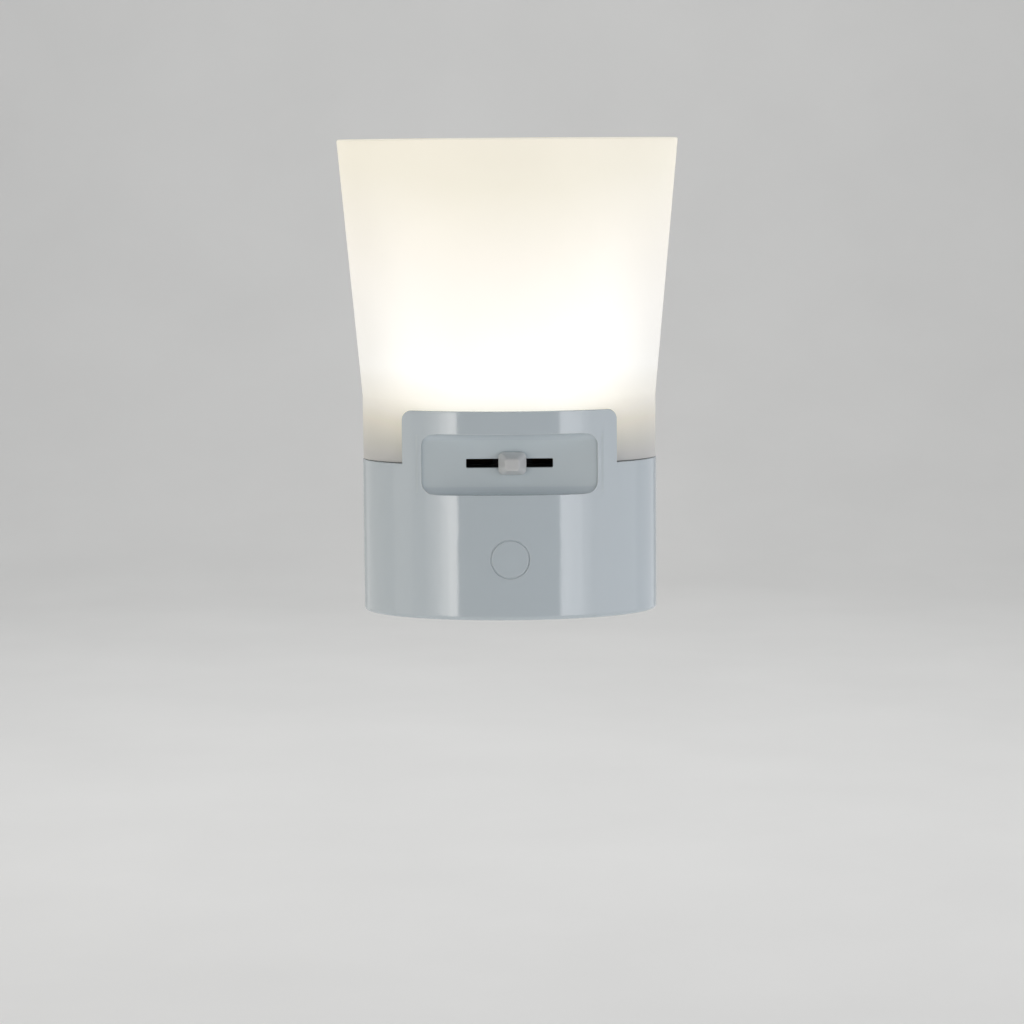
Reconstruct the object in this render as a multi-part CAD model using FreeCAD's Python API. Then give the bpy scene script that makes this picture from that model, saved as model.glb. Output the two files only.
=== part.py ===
import FreeCAD, Part
import os
import math

V = FreeCAD.Vector

# Frame: +X to the right seen from the front, +Y backwards along the blades, +Z up.
# Origin: on the flat face of the plug, half way between the two blades.
# All sizes are in millimetres.

# ---- housing ----
BODY_HALF_W = 37.1      # half width of the housing
BODY_BOTTOM = -13.0     # underside
RIM_Z = 25.6            # top of the housing beside the raised tab
MID_Y = -15.0           # straight sides in front of the seam end here
FRONT_B = 22.5          # depth of the elliptical front
SEAM_Y = -8.0           # parting line between the front and rear halves
WALL = 2.0
BOTTOM_R = 1.0          # rounding of the bottom edge
TAB_HALF_W = 26.65      # raised tab in front of the shade
TAB_TOP = 38.9
TAB_CORNER_R = 2.4
BACK_Y = -1.2           # back of the rear half
BACK_T = 2.0
NECK_HALF_W = 32.4      # back of the rear half above the rim
NECK_TOP = 40.0
PAD_HALF_W = 14.5       # raised plug face
PAD_HALF_H = 10.5
PAD_R = 6.0

# ---- finger recess, slot and round groove ----
REC_HALF_W = 21.8
REC_Z0 = 18.15
REC_Z1 = 33.2
REC_R = 3.2
REC_FLOOR_Y = -32.7
REC_FLOOR_R = 2.2       # rounding between the floor and the walls
REC_BACK_T = 1.6
SLOT_HALF_W = 10.75
SLOT_Z = 25.75
SLOT_H = 2.25
RING_Z = 2.3
RING_R = 4.74
RING_W = 0.36
RING_DEPTH = 0.3
RIM_R = 0.2              # rounding of the rim and tab edges

# ---- shade ----
SHADE_A = 36.95         # half width at the rim
SHADE_B = 20.25         # elliptical depth at the rim
SHADE_T = 2.0
SHADE_KINK_Z = 41.5
SHADE_TOP_Z = 105.6
SHADE_FLARE = 5.75      # outward lean from the kink to the top edge
SHADE_BACK_Y = -3.0
SHADE_Z0 = RIM_Z + 0.1
NOTCH_HALF_W = 24.3
NOTCH_TOP = 34.8
TONGUE_Z0 = 20.6
TONGUE_A = 34.95
TONGUE_B = 20.3
TONGUE_T = 1.65
LEDGE_TOP = 27.2

# ---- slider ----
KNOB_X = 0.7            # rest position of the knob
KNOB_W = 6.9
KNOB_H = 5.6
KNOB_FACE_W = 3.5
KNOB_FACE_H = 2.9
KNOB_CORNER_R = 1.35    # in plan at the base
KNOB_FACE_R = 0.9
KNOB_SOFT_R = 0.55
KNOB_BACK_Y = REC_FLOOR_Y - 0.3
KNOB_FRONT_Y = -37.1
KNOB_STEP = 0.8
LEVER_W = 4.0
LEVER_H = 1.6
LEVER_TIP_Y = -35.4

# ---- plug ----
BLADE_X = 6.35
BLADE_T = 1.5
NEUTRAL_H = 7.9
LINE_H = 6.35
BLADE_TIP_Y = 17.0
BLADE_HOLE_Y = 11.9
BLADE_HOLE_R = 1.6
BLADE_IN_Y = -12.4

# ---- boards ----
BOARD_Y = -14.0         # rear face of the main board
BOARD_T = 1.6
BOARD_F = BOARD_Y - BOARD_T
LEDB_Z = 35.6
LEDB_T = 1.0
LED_Y = -14.5
LED_XS = (-15.0, -5.0, 5.0, 15.0)
PIN_XS = (-3.81, -1.27, 1.27, 3.81)
PIN_Y = -19.6
PIN_Z = 31.7


def bx(x0, x1, y0, y1, z0, z1):
    return Part.makeBox(x1 - x0, y1 - y0, z1 - z0, V(x0, y0, z0))


def cy(r, x, y0, y1, z):
    return Part.makeCylinder(r, y1 - y0, V(x, y0, z), V(0, 1, 0))


def cx(r, x0, x1, y, z):
    return Part.makeCylinder(r, x1 - x0, V(x0, y, z), V(1, 0, 0))


def cz(r, x, y, z0, z1):
    return Part.makeCylinder(r, z1 - z0, V(x, y, z0), V(0, 0, 1))


def plan_wire(a, b, y_back, z):
    """Straight sides from y_back to MID_Y closed by half an ellipse in front."""
    arc = Part.ArcOfEllipse(Part.Ellipse(V(0, MID_Y, z), a, b), math.pi, 2 * math.pi)
    return Part.Wire(
        [
            Part.makeLine(V(-a, y_back, z), V(-a, MID_Y, z)),
            arc.toShape(),
            Part.makeLine(V(a, MID_Y, z), V(a, y_back, z)),
            Part.makeLine(V(a, y_back, z), V(-a, y_back, z)),
        ]
    )


def plan(a, b, y_back, z0, z1):
    return Part.Face(plan_wire(a, b, y_back, z0)).extrude(V(0, 0, z1 - z0))


def rr_wire(x0, x1, z0, z1, r, y):
    """Rounded rectangle in a plane of constant y."""
    k = r * (1 - math.sqrt(0.5))
    e = [
        Part.makeLine(V(x0 + r, y, z0), V(x1 - r, y, z0)),
        Part.Arc(V(x1 - r, y, z0), V(x1 - k, y, z0 + k), V(x1, y, z0 + r)).toShape(),
        Part.makeLine(V(x1, y, z0 + r), V(x1, y, z1 - r)),
        Part.Arc(V(x1, y, z1 - r), V(x1 - k, y, z1 - k), V(x1 - r, y, z1)).toShape(),
        Part.makeLine(V(x1 - r, y, z1), V(x0 + r, y, z1)),
        Part.Arc(V(x0 + r, y, z1), V(x0 + k, y, z1 - k), V(x0, y, z1 - r)).toShape(),
        Part.makeLine(V(x0, y, z1 - r), V(x0, y, z0 + r)),
        Part.Arc(V(x0, y, z0 + r), V(x0 + k, y, z0 + k), V(x0 + r, y, z0)).toShape(),
    ]
    return Part.Wire(e)


def rr(x0, x1, z0, z1, r, y0, y1):
    return Part.Face(rr_wire(x0, x1, z0, z1, r, y0)).extrude(V(0, y1 - y0, 0))


def poly(points, direction):
    return Part.Face(Part.makePolygon(points + [points[0]])).extrude(direction)


def edges_where(shape, test):
    return [e for e in shape.Edges if test(e)]


def one(shape):
    """The same solid with merged faces."""
    return shape.removeSplitter()


nodes = {}

# ---------------------------------------------------------------- front shell
full = plan(BODY_HALF_W, FRONT_B, SEAM_Y, BODY_BOTTOM, TAB_TOP)
bottom_edges = edges_where(
    full,
    lambda e: abs(e.BoundBox.ZMax - BODY_BOTTOM) < 1e-4
    and abs(e.BoundBox.ZMin - BODY_BOTTOM) < 1e-4
    and e.BoundBox.YMin < SEAM_Y - 0.5,
)
full = full.makeFillet(BOTTOM_R, bottom_edges)
tab = rr(-TAB_HALF_W, TAB_HALF_W, RIM_Z - 10, TAB_TOP, TAB_CORNER_R, -60, 10)
wings = bx(-60, 60, -60, 10, RIM_Z, 60).cut(tab)
outer = one(full.cut(wings)).Solids[0]


def on_front(e):
    """Edge that lies on the outer surface of the front half."""
    if e.Length < 0.05:
        return False
    for k in (0.02, 0.5, 0.98):
        q = e.valueAt(e.FirstParameter + k * (e.LastParameter - e.FirstParameter))
        if q.y < MID_Y:
            if abs((q.x / BODY_HALF_W) ** 2 + ((q.y - MID_Y) / FRONT_B) ** 2 - 1) > 1e-3:
                return False
        elif abs(abs(q.x) - BODY_HALF_W) > 1e-3:
            return False
    return True


outer = outer.makeFillet(
    RIM_R, edges_where(outer, lambda e: on_front(e) and e.BoundBox.ZMin > RIM_Z - 0.01)
)
inner_low = plan(BODY_HALF_W - WALL, FRONT_B - WALL, 5, BODY_BOTTOM + WALL, RIM_Z + 0.001)
inner_low = inner_low.makeFillet(
    0.8,
    edges_where(
        inner_low,
        lambda e: abs(e.BoundBox.ZMax - (BODY_BOTTOM + WALL)) < 1e-4 and e.BoundBox.YMin < 0,
    ),
)
inner_high = plan(SHADE_A + 0.2, SHADE_B + 0.25, 5, RIM_Z, 60)
shell = outer.cut(inner_low).cut(inner_high)
pan = rr(-REC_HALF_W - 1.0, REC_HALF_W + 1.0, REC_Z0 - 1.1, REC_Z1 + 1.1, 3.6, -60, REC_FLOOR_Y + REC_BACK_T)
core = plan(BODY_HALF_W - 0.7, FRONT_B - 0.7, SEAM_Y, BODY_BOTTOM + 1, TAB_TOP - 1)
shell = shell.fuse(pan.common(core))
# bosses for the case screws
CASE_SCREWS = [(-30.0, 16.5), (30.0, 16.5), (-30.0, -6.5), (30.0, -6.5)]
for x, z in CASE_SCREWS:
    shell = shell.fuse(cy(2.6, x, -40, -9.6, z).common(core))
# round groove on the front
ring = cy(RING_R + RING_W / 2, 0, -45, -30, RING_Z).cut(cy(RING_R - RING_W / 2, 0, -46, -29, RING_Z))
ring = ring.common(
    plan(BODY_HALF_W + 1, FRONT_B + 1, SEAM_Y, -5, 10).cut(
        plan(BODY_HALF_W - RING_DEPTH, FRONT_B - RING_DEPTH, 5, -6, 11)
    )
)
shell = shell.cut(ring)
# finger recess with a flat floor
recess = bx(-REC_HALF_W, REC_HALF_W, -60, REC_FLOOR_Y, REC_Z0, REC_Z1)
recess = recess.makeFillet(
    REC_FLOOR_R,
    edges_where(
        recess,
        lambda e: e.BoundBox.YMin > REC_FLOOR_Y - 0.01 and e.BoundBox.XMax > e.BoundBox.XMin + 1,
    ),
)
recess = recess.common(rr(-REC_HALF_W, REC_HALF_W, REC_Z0, REC_Z1, REC_R, REC_FLOOR_Y, -60))
shell = shell.cut(recess)
shell = shell.cut(
    rr(-SLOT_HALF_W, SLOT_HALF_W, SLOT_Z - SLOT_H / 2, SLOT_Z + SLOT_H / 2, 0.3, -36, -28)
)
for x, z in CASE_SCREWS:
    shell = shell.cut(cy(1.25, x, -21.5, -9, z))
shell = shell.Solids[0]
nodes["front_shell"] = shell

# ---------------------------------------------------------------- rear cover
low = bx(-BODY_HALF_W, BODY_HALF_W, SEAM_Y, BACK_Y, BODY_BOTTOM, RIM_Z)
low = low.makeFillet(
    BOTTOM_R,
    edges_where(
        low,
        lambda e: abs(e.BoundBox.ZMax - BODY_BOTTOM) < 1e-4
        and abs(e.BoundBox.XMax - e.BoundBox.XMin) < 1e-4,
    ),
)
low = low.makeFillet(
    0.8,
    edges_where(
        low,
        lambda e: abs(e.BoundBox.YMin - BACK_Y) < 1e-4 and e.BoundBox.ZMin < RIM_Z - 0.5,
    ),
)
hollow = bx(-BODY_HALF_W + WALL, BODY_HALF_W - WALL, -20, BACK_Y - BACK_T, BODY_BOTTOM + WALL, 60)
cover = low.cut(hollow)
neck = rr(-NECK_HALF_W, NECK_HALF_W, 0, NECK_TOP, 2.0, BACK_Y - BACK_T, BACK_Y)
cover = cover.fuse(neck)
pad = rr(-PAD_HALF_W, PAD_HALF_W, -PAD_HALF_H, PAD_HALF_H, PAD_R, BACK_Y - 0.5, 0)
cover = cover.fuse(pad)
# locating lip inside the seam
for s in (-1, 1):
    x_in, x_out, x_wall = 33.9 * s, 34.95 * s, 35.2 * s
    cover = cover.fuse(bx(min(x_in, x_out), max(x_in, x_out), SEAM_Y - 1.8, BACK_Y - 1, BODY_BOTTOM + WALL + 0.9, 20.0))
    cover = cover.fuse(bx(min(x_in, x_wall), max(x_in, x_wall), SEAM_Y + 0.2, BACK_Y - 1, BODY_BOTTOM + WALL + 0.9, 20.0))
cover = cover.fuse(bx(-33.9, 33.9, SEAM_Y - 1.8, BACK_Y - 1, BODY_BOTTOM + WALL + 0.15, BODY_BOTTOM + WALL + 1.2))
cover = cover.fuse(bx(-33.9, 33.9, SEAM_Y + 0.2, BACK_Y - 1, BODY_BOTTOM + WALL - 0.2, BODY_BOTTOM + WALL + 1.2))
# screw wells
for x, z in CASE_SCREWS:
    cover = cover.fuse(cy(3.4, x, -9.4, BACK_Y - 0.5, z))
# board standoffs
BOARD_SCREWS = [(-23.0, 17.3), (23.0, 17.3), (-23.0, -5.8), (23.0, -5.8)]
for x, z in BOARD_SCREWS:
    cover = cover.fuse(cy(2.6, x, BOARD_Y + 0.05, BACK_Y - 1, z))
# posts for the blade retainer
RET_SCREWS = [(-13.2, 0.0), (13.2, 0.0)]
for x, z in RET_SCREWS:
    cover = cover.fuse(cy(2.5, x, -5.5, BACK_Y - 1, z))
# shelves under the deck
for s in (-1, 1):
    cover = cover.fuse(bx(min(25 * s, 30 * s), max(25 * s, 30 * s), -7.0, BACK_Y - 1, 33.0, 38.3))
# blade slots, with rounded inner rims left square
cover = cover.cut(bx(-BLADE_X - BLADE_T / 2 - 0.06, -BLADE_X + BLADE_T / 2 + 0.06, -10, 5, -NEUTRAL_H / 2 - 0.06, NEUTRAL_H / 2 + 0.06))
cover = cover.cut(bx(BLADE_X - BLADE_T / 2 - 0.06, BLADE_X + BLADE_T / 2 + 0.06, -10, 5, -LINE_H / 2 - 0.06, LINE_H / 2 + 0.06))
for x, z in CASE_SCREWS:
    cover = cover.cut(cy(2.6, x, -4.0, 3, z)).cut(cy(1.4, x, -20, 3, z))
for x, z in BOARD_SCREWS:
    cover = cover.cut(cy(1.0, x, -20, -6.5, z))
for x, z in RET_SCREWS:
    cover = cover.cut(cy(0.95, x, -20, -2.4, z))
nodes["rear_cover"] = one(cover)

# ---------------------------------------------------------------- shade
def shade_solid(a, b, z0, extra_top, y_back):
    straight = plan(a, b, y_back, z0, SHADE_KINK_Z)
    f = SHADE_FLARE * (SHADE_TOP_Z + extra_top - SHADE_KINK_Z) / (SHADE_TOP_Z - SHADE_KINK_Z)
    flare = Part.makeLoft(
        [plan_wire(a, b, y_back, SHADE_KINK_Z), plan_wire(a + f, b + f, y_back, SHADE_TOP_Z + extra_top)],
        True,
        True,
    )
    return straight, flare


so, fo = shade_solid(SHADE_A, SHADE_B, SHADE_Z0, 0.0, SHADE_BACK_Y)
si, fi = shade_solid(SHADE_A - SHADE_T, SHADE_B - SHADE_T, SHADE_Z0 - 5, 3.0, SHADE_BACK_Y + 5)
shade = so.fuse(fo).cut(si.fuse(fi))
ledge = plan(SHADE_A, SHADE_B, SHADE_BACK_Y, SHADE_Z0, LEDGE_TOP).cut(
    plan(TONGUE_A - TONGUE_T, TONGUE_B - TONGUE_T, 5, SHADE_Z0 - 1, LEDGE_TOP + 1)
)
tongue = plan(TONGUE_A, TONGUE_B, SEAM_Y - 0.3, TONGUE_Z0, SHADE_Z0 + 0.5).cut(
    plan(TONGUE_A - TONGUE_T, TONGUE_B - TONGUE_T, 5, TONGUE_Z0 - 1, SHADE_Z0 + 1)
)
shade = shade.fuse(ledge).fuse(tongue)
notch = rr(-NOTCH_HALF_W, NOTCH_HALF_W, -5, NOTCH_TOP, 2.0, -60, -20)
shade = one(shade.cut(notch))
top_edges = edges_where(shade, lambda e: e.BoundBox.ZMin > SHADE_TOP_Z - 0.01)
try:
    soft = shade.makeFillet(0.45, top_edges)
    shade = soft if soft.isValid() and abs(soft.Volume - shade.Volume) < 100 else shade
except Exception:
    pass
nodes["light_shade"] = shade

# ---------------------------------------------------------------- led deck
DECK_A, DECK_B, DECK_T = 32.8, 16.6, 1.5
deck = plan(DECK_A, DECK_B, BACK_Y - BACK_T - 0.1, 22.0, NECK_TOP)
deck = deck.makeFillet(
    0.8,
    edges_where(deck, lambda e: e.BoundBox.ZMin > NECK_TOP - 0.01 and e.BoundBox.YMin < -4),
)
deck = deck.cut(plan(DECK_A - DECK_T, DECK_B - DECK_T, 5, 10, NECK_TOP - 1.6))
deck = deck.cut(bx(-25, 25, -60, -16.5, 10, 35.2))
LEDB_SCREWS = [(-19.5, -9.0), (19.5, -9.0)]
for x, y in LEDB_SCREWS:
    deck = deck.fuse(cz(2.3, x, y, LEDB_Z + LEDB_T + 0.05, NECK_TOP - 1.0))
for x, y in LEDB_SCREWS:
    deck = deck.cut(cz(0.9, x, y, LEDB_Z, NECK_TOP - 0.9))
for x in LED_XS:
    deck = deck.cut(Part.makeCone(2.6, 4.0, 1.7, V(x, LED_Y, NECK_TOP - 1.65), V(0, 0, 1)))
nodes["led_deck"] = one(deck)

ledb = bx(-22.5, 22.5, -21.6, -6.2, LEDB_Z, LEDB_Z + LEDB_T)
ledb = ledb.makeFillet(1.0, edges_where(ledb, lambda e: abs(e.BoundBox.ZMax - e.BoundBox.ZMin) > 0.5))
for x, y in LEDB_SCREWS:
    ledb = ledb.cut(cz(1.1, x, y, 30, 40))
for x in PIN_XS:
    ledb = ledb.cut(bx(x - 0.4, x + 0.4, PIN_Y - 0.4, PIN_Y + 0.4, 30, 40))
nodes["led_board"] = ledb

packs, phos = [], []
for x in LED_XS:
    p = bx(x - 1.75, x + 1.75, LED_Y - 1.4, LED_Y + 1.4, LEDB_Z + LEDB_T, LEDB_Z + LEDB_T + 0.85)
    p = p.cut(Part.makeCone(1.0, 1.25, 0.6, V(x, LED_Y, LEDB_Z + LEDB_T + 0.26), V(0, 0, 1)))
    packs.append(p)
    phos.append(Part.makeCone(0.99, 1.19, 0.5, V(x, LED_Y, LEDB_Z + LEDB_T + 0.28), V(0, 0, 1)))
nodes["led_packages"] = Part.makeCompound(packs)
nodes["led_phosphors"] = Part.makeCompound(phos)


def screw(head_r, head_h, shank_r, length, pos, d, depth=0.7):
    """Pan head screw with a cross recess, head under pos and shank along d."""
    n = V(d)
    head = Part.makeCylinder(head_r, head_h, pos - n * head_h, n)
    head = head.makeFillet(min(0.4, head_h * 0.35), [max(head.Edges, key=lambda e: -e.CenterOfMass.dot(n) if e.Length > 2 * head_r * 2 else -1e9)])
    s = head.fuse(Part.makeCylinder(shank_r, length - 0.8, pos, n))
    s = s.fuse(Part.makeCone(shank_r, shank_r * 0.35, 0.8, pos + n * (length - 0.8), n))
    w, l = head_r * 0.22, head_r * 1.15
    a = V(1, 0, 0)
    b = n.cross(a)
    for p, q in ((a, b), (b, a)):
        c = pos - n * (head_h + 0.5)
        pts = [c + p * l / 2 + q * w / 2, c - p * l / 2 + q * w / 2, c - p * l / 2 - q * w / 2, c + p * l / 2 - q * w / 2]
        s = s.cut(poly(pts, n * (depth + 0.5)))
    return s


nodes["led_board_screws"] = Part.makeCompound(
    [screw(1.7, 1.1, 0.85, 3.0, V(x, y, LEDB_Z - 0.02), V(0, 0, 1), 0.5) for x, y in LEDB_SCREWS]
)

# ---------------------------------------------------------------- main board
pts = [(-26.3, -9.5), (26.3, -9.5), (26.3, 21.0), (23.6, 21.0), (23.6, 33.0), (-23.6, 33.0), (-23.6, 21.0), (-26.3, 21.0)]
board = poly([V(x, BOARD_F, z) for x, z in pts], V(0, BOARD_T, 0))
for x, z in BOARD_SCREWS:
    board = board.cut(cy(1.15, x, -20, -10, z))
nodes["main_board_screws"] = Part.makeCompound(
    [screw(1.9, 1.3, 0.9, 7.4, V(x, BOARD_F - 0.03, z), V(0, 1, 0)) for x, z in BOARD_SCREWS]
)

# through-hole parts: every lead is a wire through its own hole
leads = []
holes = []


def lead(x, z, y_top, r=0.3):
    leads.append(cy(r, x, y_top, BOARD_Y + 1.1, z))
    holes.append((x, z, r + 0.06))


# film capacitor
cap = bx(-21.0, -8.0, -26.2, BOARD_F - 0.15, 8.6, 15.2)
cap = cap.makeFillet(0.9, [e for e in cap.Edges if e.BoundBox.YMax < -20 or abs(e.BoundBox.YMax - e.BoundBox.YMin) > 5])
nodes["film_capacitor"] = cap
for x in (-19.5, -9.5):
    lead(x, 11.9, BOARD_F - 0.1)
# electrolytic capacitor: can with a rounded top and a rolled groove
ecap = cy(4.0, 15.5, -27.4, BOARD_F - 0.15, 9.4)
ecap = ecap.makeFillet(0.7, [e for e in ecap.Edges if e.BoundBox.YMax < -27])
ecap = ecap.cut(Part.makeTorus(4.25, 0.5, V(15.5, BOARD_F - 1.7, 9.4), V(0, 1, 0)))
nodes["electrolytic_capacitor"] = ecap
for x in (14.5, 16.5):
    lead(x, 9.4, BOARD_F - 0.1)
# surge absorber disc
disc = cx(4.2, 0.6, 3.8, BOARD_F - 5.2, 11.4)
disc = disc.makeFillet(1.1, [e for e in disc.Edges if e.Length > 10 and abs(e.BoundBox.XMax - e.BoundBox.XMin) < 1e-4])
nodes["surge_absorber"] = disc
for z in (8.9, 13.9):
    leads.append(cy(0.3, 2.2, BOARD_F - 1.6, BOARD_Y + 1.1, z))
    holes.append((2.2, z, 0.36))
# fuse resistor lying along x
fr = cx(1.55, -19.5, -13.0, BOARD_F - 1.9, 2.6)
fr = fr.makeFillet(0.45, [e for e in fr.Edges if e.Length > 5 and abs(e.BoundBox.XMax - e.BoundBox.XMin) < 1e-4])
nodes["fuse_resistor"] = fr
for s, x0 in ((-1, -19.5), (1, -13.0)):
    x1 = x0 + s * 1.6
    w = cx(0.3, min(x0 + s * 0.05, x1), max(x0 + s * 0.05, x1), BOARD_F - 1.9, 2.6)
    w = w.fuse(cy(0.3, x1, BOARD_F - 1.9, BOARD_Y + 1.1, 2.6)).fuse(Part.makeSphere(0.3, V(x1, BOARD_F - 1.9, 2.6)))
    leads.append(w)
    holes.append((x1, 2.6, 0.36))
leads_done = [l.cut(disc) for l in leads]
nodes["component_leads"] = Part.makeCompound(leads_done)


# surface mounted parts
def smd(x, z, w, h, t):
    b = bx(x - w / 2, x + w / 2, BOARD_F - t - 0.02, BOARD_F - 0.02, z - h / 2, z + h / 2)
    return b


rect = smd(-2.8, 0.4, 4.7, 4.0, 2.4)
rect = rect.makeChamfer(0.35, [e for e in rect.Edges if e.BoundBox.YMax < BOARD_F - 2.3])
nodes["bridge_rectifier"] = rect
chip = smd(11.2, 1.0, 4.9, 3.9, 1.6)
chip = chip.makeChamfer(0.3, [e for e in chip.Edges if e.BoundBox.YMax < BOARD_F - 1.5])
chip = chip.cut(cy(0.35, 9.5, BOARD_F - 2.0, BOARD_F - 1.5, 2.2))
nodes["driver_chip"] = chip


def gull(x, z_body, s, w):
    """One bent lead in the yz plane, leaving the body at z_body towards s."""
    y = BOARD_F
    p = [(y - 0.95, 0.03), (y - 0.95, 0.55), (y - 0.22, 0.75), (y - 0.22, 1.15), (y - 0.02, 1.15), (y - 0.02, 0.58), (y - 0.72, 0.36), (y - 0.72, 0.03)]
    return poly([V(x - w / 2, a, z_body + s * b) for a, b in p], V(w, 0, 0))


nodes["chip_leads"] = Part.makeCompound(
    [gull(11.2 + dx, 1.0 + s * 1.95, s, 0.42) for dx in (-1.905, -0.635, 0.635, 1.905) for s in (-1, 1)]
    + [gull(-2.8 + dx, 0.4 + s * 2.0, s, 0.6) for dx in (-1.27, 1.27) for s in (-1, 1)]
)
nodes["chip_resistors"] = Part.makeCompound(
    [smd(x, z, 2.0, 1.25, 0.55) for x, z in ((-9.5, 4.6), (-9.5, 2.2), (-9.5, -0.2), (13.2, -3.8), (9.4, -3.8), (2.4, -4.8), (-14.5, -2.4), (-14.5, -4.8))]
)
nodes["chip_capacitors"] = Part.makeCompound(
    [smd(x, z, 2.0, 1.25, 1.0) for x, z in ((2.6, 0.6), (2.6, -1.9), (17.4, 0.8), (-4.0, -5.4))]
)

# ---------------------------------------------------------------- slide potentiometer
PX, PZ = 22.5, 4.5
P_BACK, P_FRONT = BOARD_F - 0.15, -22.6
case = bx(-PX, PX, P_FRONT, P_BACK, SLOT_Z - PZ, SLOT_Z + PZ)
case = case.makeFillet(0.45, [e for e in case.Edges if e.BoundBox.YMax < P_FRONT + 0.01])
case = case.cut(bx(-PX + 0.5, PX - 0.5, P_FRONT + 0.5, 0, SLOT_Z - PZ + 0.5, SLOT_Z + PZ - 0.5))
case = case.cut(rr(-12.0, 12.0, SLOT_Z - 1.2, SLOT_Z + 1.2, 1.15, -30, -20))
nodes["slide_pot_case"] = case
track = bx(-PX + 0.55, PX - 0.55, P_BACK - 0.9, P_BACK, SLOT_Z - PZ + 0.55, SLOT_Z + PZ - 0.55)
T_Y = P_BACK - 0.9
TERMS = [(-20.6, -2.2), (-20.6, 2.2), (20.6, -2.2), (20.6, 2.2)]
terms = []
for x, dz in TERMS:
    track = track.cut(cy(0.46, x, -30, 0, SLOT_Z + dz))
    t = cy(0.4, x, T_Y - 0.35, BOARD_Y + 1.1, SLOT_Z + dz).fuse(cy(0.75, x, T_Y - 0.35, T_Y - 0.03, SLOT_Z + dz))
    terms.append(t)
    holes.append((x, SLOT_Z + dz, 0.46))
nodes["slide_pot_track_board"] = track
nodes["slide_pot_terminals"] = Part.makeCompound(terms)
nodes["slide_pot_tracks"] = Part.makeCompound(
    [bx(-19.0, 19.0, T_Y - 0.12, T_Y - 0.01, SLOT_Z + z0, SLOT_Z + z0 + 1.5) for z0 in (-3.1, 1.6)]
)
# carriage with its lever
car = bx(KNOB_X - 5.0, KNOB_X + 5.0, P_FRONT + 0.75, P_FRONT + 3.2, SLOT_Z - PZ + 0.75, SLOT_Z + PZ - 0.75)
car = car.makeFillet(0.5, [e for e in car.Edges if abs(e.BoundBox.YMax - e.BoundBox.YMin) > 2])
lev = bx(KNOB_X - LEVER_W / 2, KNOB_X + LEVER_W / 2, LEVER_TIP_Y, P_FRONT + 1.0, SLOT_Z - LEVER_H / 2, SLOT_Z + LEVER_H / 2)
lev = lev.makeFillet(0.25, [e for e in lev.Edges if abs(e.BoundBox.YMax - e.BoundBox.YMin) > 5])
foot = bx(KNOB_X - 2.6, KNOB_X + 2.6, -24.8, P_FRONT + 1.0, SLOT_Z - 0.95, SLOT_Z + 0.95)
nodes["slide_pot_carriage"] = one(car.fuse(lev).fuse(foot))
C_Y = P_FRONT + 3.2
wip = bx(KNOB_X - 4.3, KNOB_X + 4.3, C_Y + 0.02, C_Y + 0.27, SLOT_Z - 3.3, SLOT_Z + 3.3)
for z0 in (-3.1, 1.6):
    y0, y1 = C_Y + 0.2, T_Y - 0.17
    for s in (-1, 1):
        p = [(4.3 * s, y0 - 0.15), (4.3 * s, y0 + 0.07), (1.2 * s, y1), (0.3 * s, y1 - 0.35), (0.35 * s, y1 - 0.6), (1.0 * s, y1 - 0.28), (3.4 * s, y0 - 0.1)]
        wip = wip.fuse(poly([V(KNOB_X + a, b, SLOT_Z + z0 + 0.15) for a, b in p], V(0, 0, 1.2)))
nodes["slide_pot_wipers"] = one(wip)

# ---------------------------------------------------------------- knob
def rect_wire(w, h, y, r):
    return rr_wire(KNOB_X - w / 2, KNOB_X + w / 2, SLOT_Z - h / 2, SLOT_Z + h / 2, r, y)


step_y = KNOB_BACK_Y - KNOB_STEP
knob = rr(KNOB_X - KNOB_W / 2, KNOB_X + KNOB_W / 2, SLOT_Z - KNOB_H / 2, SLOT_Z + KNOB_H / 2, KNOB_CORNER_R, step_y, KNOB_BACK_Y)
taper = Part.makeLoft(
    [rect_wire(KNOB_W, KNOB_H, step_y, KNOB_CORNER_R), rect_wire(KNOB_FACE_W, KNOB_FACE_H, KNOB_FRONT_Y, KNOB_FACE_R)],
    True,
    True,
)
knob = one(knob.fuse(taper))
knob = knob.makeFillet(KNOB_SOFT_R, [e for e in knob.Edges if e.BoundBox.YMax < KNOB_FRONT_Y + 1e-3])
knob = knob.cut(bx(KNOB_X - LEVER_W / 2 - 0.05, KNOB_X + LEVER_W / 2 + 0.05, LEVER_TIP_Y - 0.1, -30, SLOT_Z - LEVER_H / 2 - 0.05, SLOT_Z + LEVER_H / 2 + 0.05))
nodes["slider_knob"] = knob

# ---------------------------------------------------------------- board link
header = bx(-5.4, 5.4, PIN_Y - 1.25, PIN_Y + 1.25, 32.9, LEDB_Z - 0.05)
header = header.makeChamfer(0.3, [e for e in header.Edges if abs(e.BoundBox.ZMax - e.BoundBox.ZMin) > 2])
pins = []
for x in PIN_XS:
    v = bx(x - 0.3, x + 0.3, PIN_Y - 0.3, PIN_Y + 0.3, PIN_Z - 0.3, LEDB_Z + LEDB_T + 0.7)
    h = bx(x - 0.3, x + 0.3, PIN_Y - 0.3, BOARD_Y + 1.0, PIN_Z - 0.3, PIN_Z + 0.3)
    pins.append(one(v.fuse(h)))
    header = header.cut(bx(x - 0.34, x + 0.34, PIN_Y - 0.34, PIN_Y + 0.34, 30, 40))
nodes["board_link_header"] = header
nodes["board_link_pins"] = Part.makeCompound(pins)
for x, z, r in holes:
    board = board.cut(cy(r, x, -20, -10, z))
for x in PIN_XS:
    board = board.cut(bx(x - 0.36, x + 0.36, -20, -10, PIN_Z - 0.36, PIN_Z + 0.36))

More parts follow.
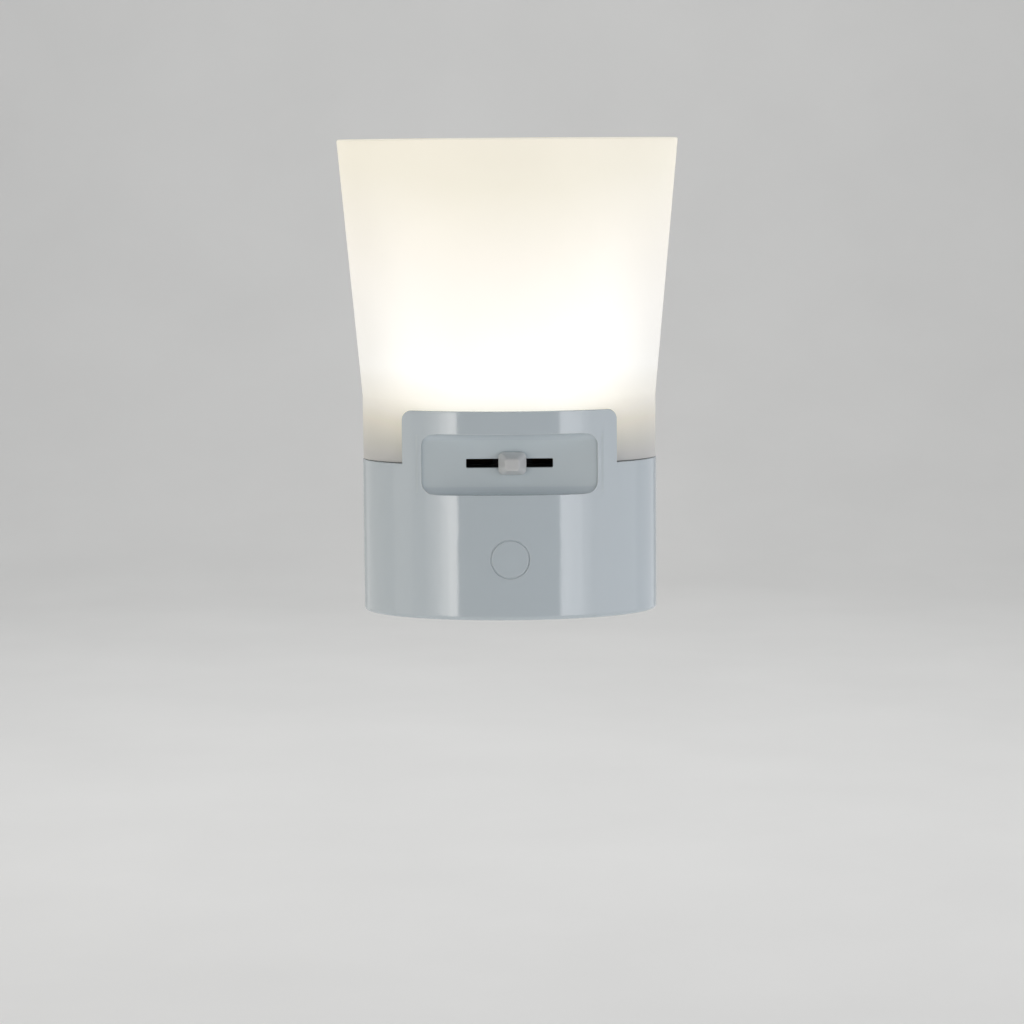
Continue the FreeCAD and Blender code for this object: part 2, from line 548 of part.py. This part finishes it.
# ---------------------------------------------------------------- blades
def blade(x, h):
    t = BLADE_T / 2
    z = h / 2
    tip = BLADE_TIP_Y
    pts = [
        (BLADE_IN_Y, -2.2), (-5.2, -2.2), (-5.2, -z - 1.7), (-3.3, -z - 1.7), (-3.3, -z),
        (tip - 2.2, -z), (tip, -z + 1.5), (tip, z - 1.5), (tip - 2.2, z), (-3.3, z),
        (-3.3, z + 1.7), (-5.2, z + 1.7), (-5.2, 2.2), (BLADE_IN_Y, 2.2),
    ]
    b = poly([V(x - t, a, c) for a, c in pts], V(BLADE_T, 0, 0))
    b = b.cut(cx(BLADE_HOLE_R, x - 3, x + 3, BLADE_HOLE_Y, 0))
    nose = [e for e in b.Edges if e.BoundBox.YMin > tip - 2.3 and abs(e.BoundBox.XMax - e.BoundBox.XMin) < 1e-4]
    return b.makeChamfer(0.35, nose)


nodes["neutral_blade"] = blade(-BLADE_X, NEUTRAL_H)
nodes["line_blade"] = blade(BLADE_X, LINE_H)
# bar that clamps the blades' shoulders
ret = rr(-16.2, 16.2, -4.6, 4.6, 2.5, -8.0, -5.6)
for x in (-BLADE_X, BLADE_X):
    ret = ret.cut(bx(x - BLADE_T / 2 - 0.06, x + BLADE_T / 2 + 0.06, -10, -5, -2.26, 2.26))
for x, z in RET_SCREWS:
    ret = ret.cut(cy(1.15, x, -10, -5, z))
nodes["blade_retainer"] = ret
nodes["retainer_screws"] = Part.makeCompound(
    [screw(1.8, 1.3, 0.9, 5.2, V(x, -8.02, z), V(0, 1, 0)) for x, z in RET_SCREWS]
)
clips = []
for x in (-BLADE_X, BLADE_X):
    t = BLADE_T / 2
    c = bx(x - t - 0.5, x + t + 0.5, BOARD_Y + 0.05, BOARD_Y + 0.5, -2.0, 2.0)
    for s in (-1, 1):
        xa, xb = x + s * (t + 0.05), x + s * (t + 0.5)
        c = c.fuse(bx(min(xa, xb), max(xa, xb), BOARD_Y + 0.05, -9.2, -2.0, 2.0))
    c = c.fuse(cy(0.5, x, BOARD_F - 0.9, BOARD_Y + 0.2, 0))
    board = board.cut(cy(0.56, x, -20, -10, 0))
    clips.append(one(c))
nodes["blade_clips"] = Part.makeCompound(clips)
nodes["main_board"] = board

# ---------------------------------------------------------------- case screws
nodes["case_screws"] = Part.makeCompound(
    [screw(2.3, 1.9, 1.2, 15.0, V(x, -3.98, z), V(0, -1, 0), 1.0) for x, z in CASE_SCREWS]
)

os.makedirs("parts", exist_ok=True)
for name in sorted(nodes):
    s = nodes[name]
    bb = s.BoundBox
    print("%-24s solids %2d valid %s vol %9.2f  x %.2f %.2f  y %.2f %.2f  z %.2f %.2f" % (
        name, len(s.Solids), s.isValid(), s.Volume, bb.XMin, bb.XMax, bb.YMin, bb.YMax, bb.ZMin, bb.ZMax))
    s.exportStep("parts/" + name + ".step")
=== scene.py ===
import math

import bmesh
import bpy
from mathutils import Matrix, Vector

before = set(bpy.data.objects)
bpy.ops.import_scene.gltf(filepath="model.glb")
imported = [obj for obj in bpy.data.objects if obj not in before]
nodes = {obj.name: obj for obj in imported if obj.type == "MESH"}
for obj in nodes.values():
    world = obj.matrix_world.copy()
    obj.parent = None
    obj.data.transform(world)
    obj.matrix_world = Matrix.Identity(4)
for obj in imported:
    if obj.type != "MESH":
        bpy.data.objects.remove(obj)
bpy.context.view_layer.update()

mm = 0.001


# ------------------------------------------------------------------ materials
class Mat:
    """A node material on one Principled shader, with procedural colour, roughness and bump."""

    def __init__(self, name, rough=0.45, **sockets):
        self.m = bpy.data.materials.new(name)
        self.m.use_nodes = True
        self.t = self.m.node_tree
        self.p = self.t.nodes["Principled BSDF"]
        self.p.inputs["Roughness"].default_value = rough
        for k, v in sockets.items():
            self.p.inputs[k.replace("_", " ")].default_value = v
        self.obj = self.t.nodes.new("ShaderNodeTexCoord").outputs["Object"]
        self.normal = None

    def new(self, kind, **props):
        n = self.t.nodes.new(kind)
        for k, v in props.items():
            setattr(n, k, v)
        return n

    def link(self, a, b):
        self.t.links.new(a, b)

    def noise(self, scale, detail=4.0, rough=0.55, stretch=None, seed=0.0):
        n = self.new("ShaderNodeTexNoise")
        n.inputs["Scale"].default_value = scale
        n.inputs["Detail"].default_value = detail
        n.inputs["Roughness"].default_value = rough
        src = self.obj
        if stretch or seed:
            mp = self.new("ShaderNodeMapping")
            mp.inputs["Scale"].default_value = stretch or (1, 1, 1)
            mp.inputs["Location"].default_value = (seed, seed * 0.7, seed * 1.3)
            self.link(src, mp.inputs["Vector"])
            src = mp.outputs["Vector"]
        self.link(src, n.inputs["Vector"])
        return n.outputs["Fac"]

    def ramp(self, fac, stops, interpolation="LINEAR"):
        r = self.new("ShaderNodeValToRGB")
        r.color_ramp.interpolation = interpolation
        e = r.color_ramp.elements
        while len(e) < len(stops):
            e.new(0.5)
        for el, (pos, col) in zip(e, stops):
            el.position = pos
            el.color = (*col, 1.0) if len(col) == 3 else col
        self.link(fac, r.inputs["Fac"])
        return r.outputs["Color"]

    def math(self, op, a, b=None, c=None, clamp=False):
        n = self.new("ShaderNodeMath", operation=op)
        n.use_clamp = clamp
        for i, v in enumerate((a, b, c)):
            if v is None:
                continue
            if isinstance(v, (int, float)):
                n.inputs[i].default_value = v
            else:
                self.link(v, n.inputs[i])
        return n.outputs[0]

    def remap(self, v, a, b, c, d, smooth=False):
        n = self.new("ShaderNodeMapRange")
        n.interpolation_type = "SMOOTHSTEP" if smooth else "LINEAR"
        for i, x in enumerate((a, b, c, d)):
            n.inputs[i + 1].default_value = x
        self.link(v, n.inputs[0])
        return n.outputs[0]

    def mix(self, fac, a, b, blend="MIX"):
        n = self.new("ShaderNodeMix", data_type="RGBA", blend_type=blend)
        for s, v in ((n.inputs[0], fac), (n.inputs[6], a), (n.inputs[7], b)):
            if isinstance(v, (int, float)):
                s.default_value = v
            elif isinstance(v, tuple):
                s.default_value = (*v, 1.0) if len(v) == 3 else v
            else:
                self.link(v, s)
        return n.outputs[2]

    def xyz(self):
        s = self.new("ShaderNodeSeparateXYZ")
        self.link(self.obj, s.inputs[0])
        return s.outputs

    def colour(self, out):
        self.link(out, self.p.inputs["Base Color"])
        return self

    def rough(self, out):
        self.link(out, self.p.inputs["Roughness"])
        return self

    def edge(self, radius, top=1.0):
        """Mask of the edges: where the normal averaged over the radius leaves the true one."""
        g = self.new("ShaderNodeNewGeometry")
        v = self.new("ShaderNodeBevel")
        v.samples = 6
        v.inputs["Radius"].default_value = radius
        d = self.new("ShaderNodeVectorMath", operation="DOT_PRODUCT")
        self.link(g.outputs["Normal"], d.inputs[0])
        self.link(v.outputs["Normal"], d.inputs[1])
        return self.remap(d.outputs["Value"], 0.998, 0.93, 0.0, top)

    def bump(self, height, strength=0.2, distance=0.0001, bevel=None):
        b = self.new("ShaderNodeBump")
        b.inputs["Strength"].default_value = strength
        b.inputs["Distance"].default_value = distance
        self.link(height, b.inputs["Height"])
        if bevel:
            v = self.new("ShaderNodeBevel")
            v.samples = 6
            v.inputs["Radius"].default_value = bevel
            self.link(v.outputs["Normal"], b.inputs["Normal"])
        self.link(b.outputs["Normal"], self.p.inputs["Normal"])
        return self


def plastic(name, col, var=0.03, rough=0.35, rvar=0.08, grain=900.0, bump=0.12, bevel=None, **sockets):
    """Moulded plastic: faint flow tone, fine grain, uneven gloss, scuffed lighter along edges."""
    k = Mat(name, rough, **sockets)
    flow = k.noise(38.0, 3.0, 0.5, stretch=(1.0, 1.0, 0.45), seed=1.7)
    fine = k.noise(grain, 5.0, 0.6, seed=4.1)
    lo = tuple(max(0.0, c * (1 - var)) for c in col)
    hi = tuple(min(1.0, c * (1 + var)) for c in col)
    base = k.ramp(flow, [(0.32, lo), (0.68, hi)])
    worn_and_edge_highlight = k.math("MULTIPLY", k.edge(0.0004, 0.5), k.noise(260.0, 3.0, 0.6, seed=8.0), clamp=True)
    k.colour(k.mix(worn_and_edge_highlight, base, tuple(min(1.0, c * 1.12 + 0.02) for c in col)))
    smudge = k.noise(70.0, 4.0, 0.65, seed=2.9)
    k.rough(k.remap(smudge, 0.3, 0.7, max(0.02, rough - rvar), rough + rvar))
    k.bump(fine, bump, 0.00006, bevel)
    return k


def metal(name, col, rough=0.28, brushed=None, bump=0.15, bevel=None):
    k = Mat(name, rough, Metallic=1.0)
    streak = k.noise(420.0, 4.0, 0.6, stretch=brushed or (1, 1, 1), seed=3.3)
    tarnish = k.noise(110.0, 4.0, 0.6, seed=6.1)
    base = k.ramp(tarnish, [(0.3, tuple(c * 0.86 for c in col)), (0.7, col)])
    k.colour(base)
    k.rough(k.remap(streak, 0.3, 0.7, rough - 0.08, rough + 0.12))
    k.bump(streak, bump, 0.00003, bevel)
    return k


def put(node, mat):
    o = nodes[node]
    o.data.materials.clear()
    o.data.materials.append(mat.m)


# the pale housing: glossy, with the finger pocket's floor spark-textured and duller
shell = Mat("shell_paint", 0.12, Specular_IOR_Level=0.9)
flow = shell.noise(14.0, 2.0, 0.5, stretch=(1.0, 1.0, 0.4), seed=1.1)
base = shell.ramp(flow, [(0.3, (0.662, 0.745, 0.790)), (0.7, (0.672, 0.755, 0.797))])
# painted highlight: the edges are lightened towards (0.86, 0.91, 0.94) to stand in for the thin light lines along the
# pocket mouth, slot, ring and rims, broken up by noise like wear
worn_and_edge_highlight = shell.math("MULTIPLY", shell.edge(0.0004, 1.0), shell.noise(240.0, 3.0, 0.6, seed=7.0), clamp=True)
base = shell.mix(worn_and_edge_highlight, base, (0.86, 0.91, 0.94))
X, Y, Z = shell.xyz()
# floor of the pocket: flat plane at y -32.7, between x +-21.8 and z 18.6 to 32.8
in_y = shell.math("MULTIPLY", shell.math("GREATER_THAN", Y, -0.03276), shell.math("LESS_THAN", Y, -0.03255))
in_z = shell.math("MULTIPLY", shell.math("GREATER_THAN", Z, 0.0185), shell.math("LESS_THAN", Z, 0.0330))
pocket = shell.math("MULTIPLY", in_y, in_z)
shell.colour(shell.mix(pocket, base, (0.635, 0.715, 0.745)))
smudge = shell.noise(22.0, 3.0, 0.5, seed=2.2)
gloss = shell.remap(smudge, 0.3, 0.7, 0.075, 0.095)
shell.rough(shell.math("MAXIMUM", gloss, shell.math("MULTIPLY", pocket, 0.62)))
fine = shell.noise(1500.0, 3.0, 0.6, seed=5.0)
coarse = shell.noise(2600.0, 2.0, 0.6, seed=9.0)
height = shell.math("ADD", shell.math("MULTIPLY", fine, 0.10), shell.math("MULTIPLY", coarse, shell.math("MULTIPLY", pocket, 2.0)))
shell.bump(height, 0.10, 0.00004, 0.0003)
put("front_shell", shell)

put("rear_cover", plastic("rear_paint", (0.665, 0.74, 0.78), 0.015, 0.42, 0.08, 1600.0, 0.3, 0.0003))
put("slider_knob", plastic("knob_paint", (0.70, 0.715, 0.715), 0.02, 0.2, 0.04, 1800.0, 0.06, 0.0003))
put("led_deck", plastic("deck_paint", (0.88, 0.88, 0.86), 0.015, 0.55, 0.06, 1500.0, 0.15, 0.0003))

# the frosted shade: its glow is emission painted by height and side, standing in for the light the LEDs throw through
# it; brightest just above the deck
shade = Mat("shade_frost", 0.5)
X, Y, Z = shade.xyz()
cloud = shade.noise(26.0, 3.0, 0.55, seed=3.0)
grain = shade.noise(1400.0, 4.0, 0.6, seed=1.0)
shade.colour(shade.ramp(cloud, [(0.3, (0.775, 0.770, 0.735)), (0.7, (0.800, 0.795, 0.765))]))
side = shade.math("ABSOLUTE", X)
up = shade.math("ADD", shade.remap(Z, 0.0256, 0.1056, 0.0, 1.0), shade.remap(side, 0.010, 0.030, 0.06, 0.0, True))
# painted glow: emission colour by height, dimmed towards the side edges by fall below
glow = shade.ramp(
    up,
    [
        (0.02, (0.00, 0.00, 0.00)),
        (0.06, (0.11, 0.105, 0.055)),
        (0.13, (0.42, 0.37, 0.25)),
        (0.21, (0.82, 0.78, 0.67)),
        (0.30, (1.00, 0.99, 0.94)),
        (0.45, (0.95, 0.92, 0.86)),
        (0.68, (0.84, 0.785, 0.68)),
        (0.91, (0.68, 0.625, 0.475)),
        (1.00, (0.66, 0.60, 0.45)),
    ],
)
low = shade.remap(up, 0.25, 0.95, 0.53, 0.97)
fall = shade.math("SUBTRACT", 1.0, shade.math("MULTIPLY", shade.remap(side, 0.022, 0.043, 0.0, 1.0, True), shade.math("SUBTRACT", 1.0, low)))
shade.link(glow, shade.p.inputs["Emission Color"])
str_ = shade.math("MULTIPLY", fall, shade.remap(cloud, 0.3, 0.7, 0.64, 0.68))
shade.link(str_, shade.p.inputs["Emission Strength"])
shade.rough(shade.remap(grain, 0.3, 0.7, 0.42, 0.56))
shade.bump(grain, 0.12, 0.00005, 0.0003)
put("light_shade", shade)

# light sources
phos = Mat("phosphor_gel", 0.25)
n = phos.noise(900.0, 3.0, 0.5)
phos.colour(phos.ramp(n, [(0.3, (0.95, 0.78, 0.25)), (0.7, (1.0, 0.86, 0.38))]))
phos.link(phos.ramp(n, [(0.3, (1.0, 0.80, 0.50)), (0.7, (1.0, 0.88, 0.62))]), phos.p.inputs["Emission Color"])
phos.p.inputs["Emission Strength"].default_value = 5.0
put("led_phosphors", phos)
put("led_packages", plastic("led_body", (0.88, 0.88, 0.86), 0.02, 0.45, 0.05, 2000.0, 0.1))
put("led_board", plastic("led_board_mask", (0.84, 0.84, 0.81), 0.03, 0.4, 0.1, 1200.0, 0.15))


# circuit board: solder mask with buried tracks and speckle
def board_material(name, dark, light, copper):
    k = Mat(name, 0.38)
    w = k.new("ShaderNodeTexVoronoi", feature="F1", distance="CHEBYCHEV")
    w.inputs["Scale"].default_value = 260.0
    k.link(k.obj, w.inputs["Vector"])
    tracks = k.ramp(w.outputs["Distance"], [(0.40, (0, 0, 0)), (0.46, (1, 1, 1))])
    weave = k.noise(900.0, 2.0, 0.5, stretch=(1, 1, 0.25))
    base = k.ramp(weave, [(0.3, dark), (0.7, light)])
    k.colour(k.mix(k.math("MULTIPLY", tracks, 0.5), base, copper))
    k.rough(k.remap(weave, 0.3, 0.7, 0.30, 0.46))
    k.bump(tracks, 0.25, 0.00004)
    return k


put("main_board", board_material("board_mask", (0.025, 0.16, 0.07), (0.04, 0.22, 0.10), (0.09, 0.33, 0.15)))
put("film_capacitor", plastic("film_cap", (0.78, 0.55, 0.06), 0.06, 0.3, 0.08, 700.0, 0.15, 0.0003))
put("electrolytic_capacitor", plastic("cap_sleeve", (0.03, 0.035, 0.055), 0.15, 0.25, 0.06, 700.0, 0.12, 0.0003))
epoxy = plastic("chip_epoxy", (0.022, 0.022, 0.025), 0.15, 0.55, 0.1, 2400.0, 0.4)
put("bridge_rectifier", epoxy)
put("driver_chip", epoxy)
tin = metal("tinned", (0.75, 0.75, 0.74), 0.3)
for n_ in ("chip_leads", "component_leads", "slide_pot_terminals"):
    put(n_, tin)
put("fuse_resistor", plastic("resistor_coat", (0.20, 0.33, 0.22), 0.1, 0.55, 0.1, 900.0, 0.4, 0.0002))
put("surge_absorber", plastic("surge_dip", (0.03, 0.10, 0.33), 0.12, 0.25, 0.08, 500.0, 0.3, 0.0003))
put("chip_resistors", plastic("smd_glass", (0.03, 0.03, 0.03), 0.2, 0.35, 0.1, 2500.0, 0.3))
put("chip_capacitors", plastic("smd_ceramic", (0.42, 0.31, 0.19), 0.1, 0.5, 0.1, 2500.0, 0.3))
put("board_link_header", plastic("header_black", (0.025, 0.025, 0.025), 0.2, 0.5, 0.1, 1500.0, 0.3))
put("board_link_pins", metal("pin_gold", (0.83, 0.64, 0.28), 0.25))
put("slide_pot_case", plastic("pot_case_black", (0.018, 0.018, 0.019), 0.2, 0.5, 0.1, 1400.0, 0.2, 0.0002))
put("slide_pot_track_board", plastic("phenolic", (0.27, 0.14, 0.06), 0.12, 0.45, 0.08, 600.0, 0.3))
put("slide_pot_tracks", plastic("carbon_ink", (0.02, 0.02, 0.022), 0.2, 0.5, 0.1, 1800.0, 0.3))
put("slide_pot_carriage", plastic("acetal_black", (0.028, 0.028, 0.030), 0.15, 0.38, 0.08, 1200.0, 0.2, 0.0002))
bronze = metal("bronze_spring", (0.72, 0.46, 0.24), 0.28, (1, 8, 1))
put("slide_pot_wipers", bronze)
put("blade_clips", bronze)
blade = metal("nickel_blade", (0.78, 0.76, 0.70), 0.22, (1, 10, 1), 0.2, 0.0002)
put("neutral_blade", blade)
put("line_blade", blade)
put("blade_retainer", plastic("retainer_cream", (0.74, 0.71, 0.63), 0.04, 0.5, 0.08, 1200.0, 0.2, 0.0003))
zinc = metal("zinc_screw", (0.66, 0.67, 0.70), 0.3)
for n_ in ("led_board_screws", "main_board_screws", "retainer_screws"):
    put(n_, zinc)
put("case_screws", metal("black_screw", (0.16, 0.16, 0.17), 0.4))


# ------------------------------------------------------------------ stage
def grid_sheet(name, rows, mat):
    """A swept sheet from a list of (y, z) points, wide in x."""
    bm = bmesh.new()
    xs = [-9.0 + 18.0 * i / 24 for i in range(25)]
    grid = [[bm.verts.new((x, y, z)) for x in xs] for y, z in rows]
    for a, b in zip(grid, grid[1:]):
        for i in range(len(xs) - 1):
            bm.faces.new((a[i], a[i + 1], b[i + 1], b[i]))
    me = bpy.data.meshes.new(name)
    bm.to_mesh(me)
    bm.free()
    for p in me.polygons:
        p.use_smooth = True
    o = bpy.data.objects.new(name, me)
    bpy.context.scene.collection.objects.link(o)
    o.data.materials.append(mat.m)
    return o


FLOOR_Z = -0.32
floor_mat = Mat("pale_sweep", 0.75)
fn = floor_mat.noise(6.0, 4.0, 0.5)
floor_mat.colour(floor_mat.ramp(fn, [(0.3, (0.80, 0.80, 0.79)), (0.7, (0.83, 0.83, 0.82))]))
floor_mat.bump(floor_mat.noise(300.0, 3.0, 0.6), 0.05, 0.0002)
R = 0.9
rows = [(-9.0, FLOOR_Z), (-4.5, FLOOR_Z), (-2.0, FLOOR_Z), (0.0, FLOOR_Z), (2.2, FLOOR_Z)]
rows += [(2.2 + R * math.sin(t), FLOOR_Z + R - R * math.cos(t)) for t in [math.pi / 2 * i / 12 for i in range(1, 13)]]
rows += [(2.2 + R, FLOOR_Z + R + 2.6)]
grid_sheet("floor_sweep", rows, floor_mat)


# ------------------------------------------------------------------ lights
def area(name, loc, target, w, h, power, colour=(1, 1, 1), spread=180.0):
    d = bpy.data.lights.new(name, "AREA")
    d.shape = "RECTANGLE"
    d.size, d.size_y = w, h
    d.energy = power
    d.color = colour
    d.spread = math.radians(spread)
    o = bpy.data.objects.new(name, d)
    o.location = loc
    o.rotation_euler = (Vector(target) - Vector(loc)).to_track_quat("-Z", "Y").to_euler()
    bpy.context.scene.collection.objects.link(o)
    return o


def ring(az, dist, z):
    a = math.radians(az)
    return (dist * math.sin(a), -dist * math.cos(a), z)


def radiance(level, w, h):
    """Watts that give a rectangle this radiance."""
    return level * math.pi * w * h


# on each side a tall soft light that is brightest at its inner edge and fades outwards, in bands
LEFT = ((26.3, 32, 3.3), (32, 36, 2.4), (36, 40, 1.55), (40, 45, 1.1), (45, 57, 0.68), (57, 75, 0.9), (75, 140, 0.62))
RIGHT = ((25, 31, 2.4), (31, 38, 2.1), (38, 43, 1.4), (43, 60, 1.0), (60, 90, 0.95), (90, 140, 0.66))
for side, name, tint, bands in ((-1, "left", (1.0, 0.96, 0.92), LEFT), (1, "right", (0.97, 0.965, 1.0), RIGHT)):
    for i, (az0, az1, level) in enumerate(bands):
        width = 2 * 1.25 * math.tan(math.radians(az1 - az0) / 2)
        area("%s_%d" % (name, i), ring(side * (az0 + az1) / 2, 1.25, 0.10), (0, 0, 0.10), width, 1.0, radiance(level, width, 1.0), tint)
area("soft_top", (0.0, 0.1, 1.5), (0, 0, 0.03), 1.4, 1.4, radiance(0.4, 1.4, 1.4))
area("soft_back", (0.0, 1.0, 1.7), (0, 2.0, 0.2), 2.2, 0.9, radiance(5.5, 2.2, 0.9))

w = bpy.data.worlds.new("soft_world")
w.use_nodes = True
w.node_tree.nodes["Background"].inputs[0].default_value = (0.93, 0.96, 1.0, 1.0)
w.node_tree.nodes["Background"].inputs[1].default_value = 0.06
bpy.context.scene.world = w

# warm light that the lamp itself throws up inside the shade
area("lamp_up", (0.0, -0.0148, 0.0415), (0, -0.0148, 1.0), 0.040, 0.008, 0.035, (1.0, 0.86, 0.62), 170.0)

bpy.context.scene.view_settings.view_transform = "Standard"

# ------------------------------------------------------------------ camera
F_PX, PITCH, ROLL, DIST = 3065.0, 6.57, 0.45, 0.794
cam_d = bpy.data.cameras.new("camera")
cam_d.sensor_fit = "HORIZONTAL"
cam_d.sensor_width = 36.0
cam_d.lens = F_PX / 1024.0 * 36.0
cam_d.clip_start, cam_d.clip_end = 0.05, 30.0
cam = bpy.data.objects.new("camera", cam_d)
bpy.context.scene.collection.objects.link(cam)
bpy.context.scene.camera = cam
OX, OY = 510.3, 549.6
p = math.radians(PITCH)
fwd = Vector((0, math.cos(p), -math.sin(p)))
right = Vector((1, 0, 0))
upv = right.cross(fwd)
r = math.radians(ROLL)
right_r = right * math.cos(r) - upv * math.sin(r)
up_r = upv * math.cos(r) + right * math.sin(r)
dx, dy = (OX - 512.0) / F_PX, (512.0 - OY) / F_PX
ray = fwd + right_r * dx + up_r * dy
pos = -ray * (DIST / ray.dot(fwd))
rot = Matrix((right_r, up_r, -fwd)).transposed()
cam.matrix_world = Matrix.Translation(pos) @ rot.to_4x4()
